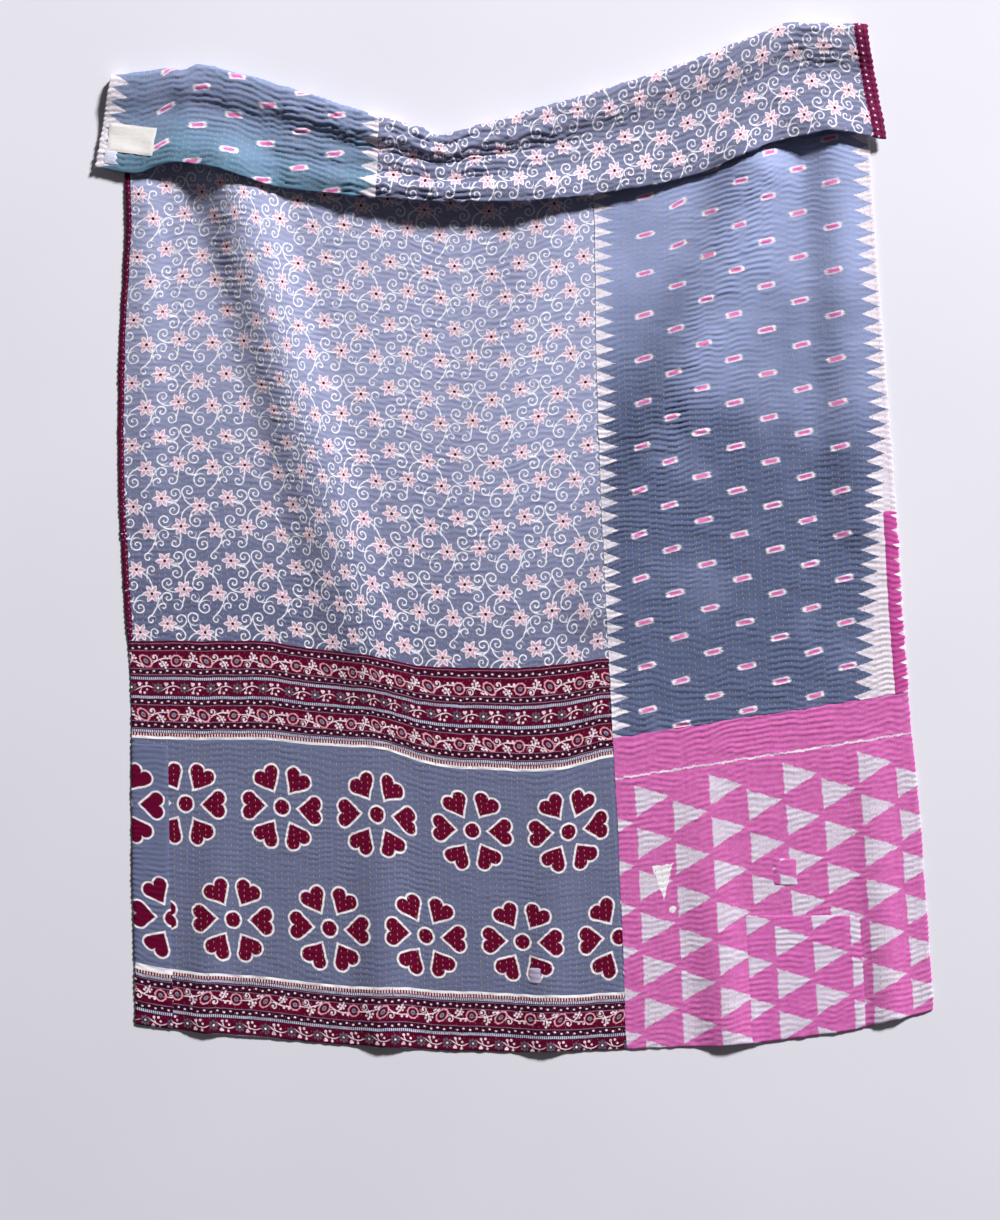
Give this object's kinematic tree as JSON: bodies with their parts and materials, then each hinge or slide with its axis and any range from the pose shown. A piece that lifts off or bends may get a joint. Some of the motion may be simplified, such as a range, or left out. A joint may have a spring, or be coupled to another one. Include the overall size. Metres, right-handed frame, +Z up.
{
  "type": "kantha quilt",
  "caption": "Patchwork kantha quilt of layered old cotton, laid out flat with its head end turned down over the face, for covering a bed or a sofa.",
  "frame": {"origin": "on the surface the quilt lies on, under the middle of its outline", "axes": "+Z up off the surface, +Y from the foot hem to the head fold, +X to the right of the face seen from above"},
  "size_m": [1.4701, 1.8066, 0.0504],
  "materials": {
    "floral_cotton": "matte, stitched and puckered",
    "border_cotton": "matte, stitched and puckered",
    "hearts_cotton": "matte, stitched and puckered",
    "ikat_cotton": "matte, stitched and puckered",
    "pink_cotton": "matte, stitched and puckered",
    "running_thread": "matte cotton thread",
    "label_cotton": "matte, plain and bare",
    "tab_cotton": "matte, plain and bare"
  },
  "bodies": {
    "root": {"quilt": "floral_cotton", "label": "label_cotton", "label_tab": "tab_cotton"}
  },
  "joints": []
}
